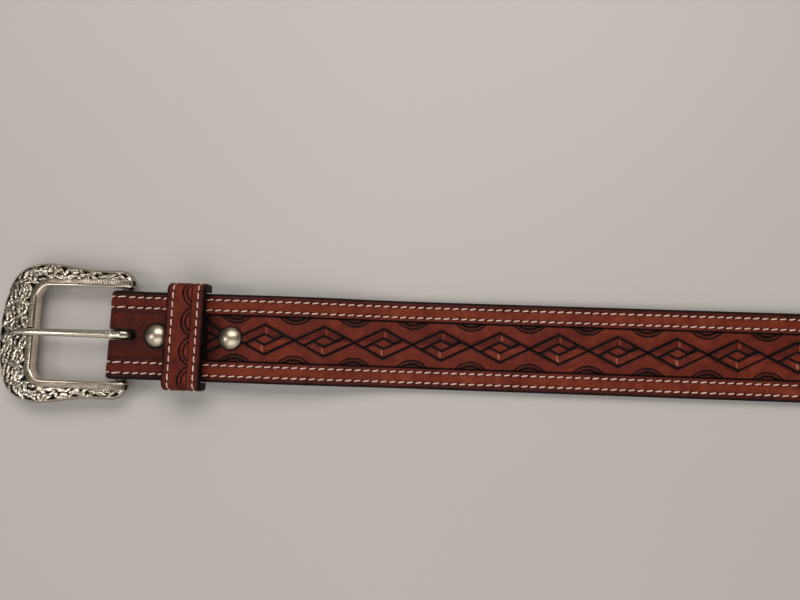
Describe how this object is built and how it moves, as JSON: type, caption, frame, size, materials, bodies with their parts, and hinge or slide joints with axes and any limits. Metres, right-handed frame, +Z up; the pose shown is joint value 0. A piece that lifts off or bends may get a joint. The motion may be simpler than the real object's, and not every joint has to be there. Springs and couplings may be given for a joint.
{
  "type": "stamped leather belt",
  "caption": "Western leather belt laid straight: bendable stamped strap with stitched borders, engraved open-back buckle with prong, sliding keeper and screw posts.",
  "frame": {"origin": "on the table, under the middle of the whole belt's bounding box", "axes": "+X along the strap from the buckle to the pointed tip, +Y across the strap, +Z up out of the stamped face"},
  "size_m": [1.091, 0.0612, 0.0171],
  "materials": {
    "tooled_leather": "satin",
    "lining_leather": "matte",
    "keeper_leather": "satin",
    "thread": "matte",
    "engraved_nickel": "antiqued",
    "satin_nickel": "satin",
    "staple_wire": "bright"
  },
  "bodies": {
    "strap_end": {"strap_leather_00": "tooled_leather", "strap_lining_00": "lining_leather", "strap_thread_00": "thread", "post_front": "satin_nickel", "post_rear": "satin_nickel", "screw_front": "satin_nickel", "screw_rear": "satin_nickel"},
    "buckle": {"buckle_frame": "engraved_nickel"},
    "prong": {"buckle_prong": "satin_nickel"},
    "keeper": {"keeper_loop": "keeper_leather", "keeper_thread_front": "thread", "keeper_thread_rear": "thread", "keeper_staple": "staple_wire"},
    "strap_01": {"strap_leather_01": "tooled_leather", "strap_lining_01": "lining_leather", "strap_thread_01": "thread"},
    "strap_02": {"strap_leather_02": "tooled_leather", "strap_lining_02": "lining_leather", "strap_thread_02": "thread"},
    "strap_03": {"strap_leather_03": "tooled_leather", "strap_lining_03": "lining_leather", "strap_thread_03": "thread"},
    "strap_04": {"strap_leather_04": "tooled_leather", "strap_lining_04": "lining_leather", "strap_thread_04": "thread"},
    "strap_05": {"strap_leather_05": "tooled_leather", "strap_lining_05": "lining_leather", "strap_thread_05": "thread"},
    "strap_06": {"strap_leather_06": "tooled_leather", "strap_lining_06": "lining_leather", "strap_thread_06": "thread"},
    "strap_07": {"strap_leather_07": "tooled_leather", "strap_lining_07": "lining_leather", "strap_thread_07": "thread"},
    "strap_08": {"strap_leather_08": "tooled_leather", "strap_lining_08": "lining_leather", "strap_thread_08": "thread"},
    "strap_09": {"strap_leather_09": "tooled_leather", "strap_lining_09": "lining_leather", "strap_thread_09": "thread"},
    "strap_10": {"strap_leather_10": "tooled_leather", "strap_lining_10": "lining_leather", "strap_thread_10": "thread"},
    "strap_11": {"strap_leather_11": "tooled_leather", "strap_lining_11": "lining_leather", "strap_thread_11": "thread"},
    "strap_12": {"strap_leather_12": "tooled_leather", "strap_lining_12": "lining_leather", "strap_thread_12": "thread"},
    "strap_13": {"strap_leather_13": "tooled_leather", "strap_lining_13": "lining_leather", "strap_thread_13": "thread"}
  },
  "joints": [
    {"name": "buckle_swing", "type": "hinge", "parent": "strap_end", "child": "buckle", "pos_m": [-0.4882, 0, 0.0063], "axis": [0, 1, 0], "range_deg": [-30, 45]},
    {"name": "prong_swing", "type": "hinge", "parent": "buckle", "child": "prong", "pos_m": [-0.4882, 0, 0.0063], "axis": [0, 1, 0], "range_deg": [0, 60]},
    {"name": "keeper_slide", "type": "slide", "parent": "strap_end", "child": "keeper", "axis": [1, 0, 0], "range_m": [-0.0009, 0.0047]},
    {"name": "strap_bend_01", "type": "hinge", "parent": "strap_end", "child": "strap_01", "pos_m": [-0.4256, 0, 0.00825], "axis": [0, -1, 0], "range_deg": [-25, 25], "stiffness_Nm_per_rad": 0.12},
    {"name": "strap_bend_02", "type": "hinge", "parent": "strap_01", "child": "strap_02", "pos_m": [-0.3494, 0, 0.0019], "axis": [0, -1, 0], "range_deg": [-25, 25], "stiffness_Nm_per_rad": 0.12},
    {"name": "strap_bend_03", "type": "hinge", "parent": "strap_02", "child": "strap_03", "pos_m": [-0.2732, 0, 0.0019], "axis": [0, -1, 0], "range_deg": [-25, 25], "stiffness_Nm_per_rad": 0.12},
    {"name": "strap_bend_04", "type": "hinge", "parent": "strap_03", "child": "strap_04", "pos_m": [-0.197, 0, 0.0019], "axis": [0, -1, 0], "range_deg": [-25, 25], "stiffness_Nm_per_rad": 0.12},
    {"name": "strap_bend_05", "type": "hinge", "parent": "strap_04", "child": "strap_05", "pos_m": [-0.1208, 0, 0.0019], "axis": [0, -1, 0], "range_deg": [-25, 25], "stiffness_Nm_per_rad": 0.12},
    {"name": "strap_bend_06", "type": "hinge", "parent": "strap_05", "child": "strap_06", "pos_m": [-0.0446, 0, 0.0019], "axis": [0, -1, 0], "range_deg": [-25, 25], "stiffness_Nm_per_rad": 0.12},
    {"name": "strap_bend_07", "type": "hinge", "parent": "strap_06", "child": "strap_07", "pos_m": [0.0316, 0, 0.0019], "axis": [0, -1, 0], "range_deg": [-25, 25], "stiffness_Nm_per_rad": 0.12},
    {"name": "strap_bend_08", "type": "hinge", "parent": "strap_07", "child": "strap_08", "pos_m": [0.1078, 0, 0.0019], "axis": [0, -1, 0], "range_deg": [-25, 25], "stiffness_Nm_per_rad": 0.12},
    {"name": "strap_bend_09", "type": "hinge", "parent": "strap_08", "child": "strap_09", "pos_m": [0.184, 0, 0.0019], "axis": [0, -1, 0], "range_deg": [-25, 25], "stiffness_Nm_per_rad": 0.12},
    {"name": "strap_bend_10", "type": "hinge", "parent": "strap_09", "child": "strap_10", "pos_m": [0.2602, 0, 0.0019], "axis": [0, -1, 0], "range_deg": [-25, 25], "stiffness_Nm_per_rad": 0.12},
    {"name": "strap_bend_11", "type": "hinge", "parent": "strap_10", "child": "strap_11", "pos_m": [0.3364, 0, 0.0019], "axis": [0, -1, 0], "range_deg": [-25, 25], "stiffness_Nm_per_rad": 0.12},
    {"name": "strap_bend_12", "type": "hinge", "parent": "strap_11", "child": "strap_12", "pos_m": [0.4126, 0, 0.0019], "axis": [0, -1, 0], "range_deg": [-25, 25], "stiffness_Nm_per_rad": 0.12},
    {"name": "strap_bend_13", "type": "hinge", "parent": "strap_12", "child": "strap_13", "pos_m": [0.4888, 0, 0.0019], "axis": [0, -1, 0], "range_deg": [-25, 25], "stiffness_Nm_per_rad": 0.12}
  ]
}
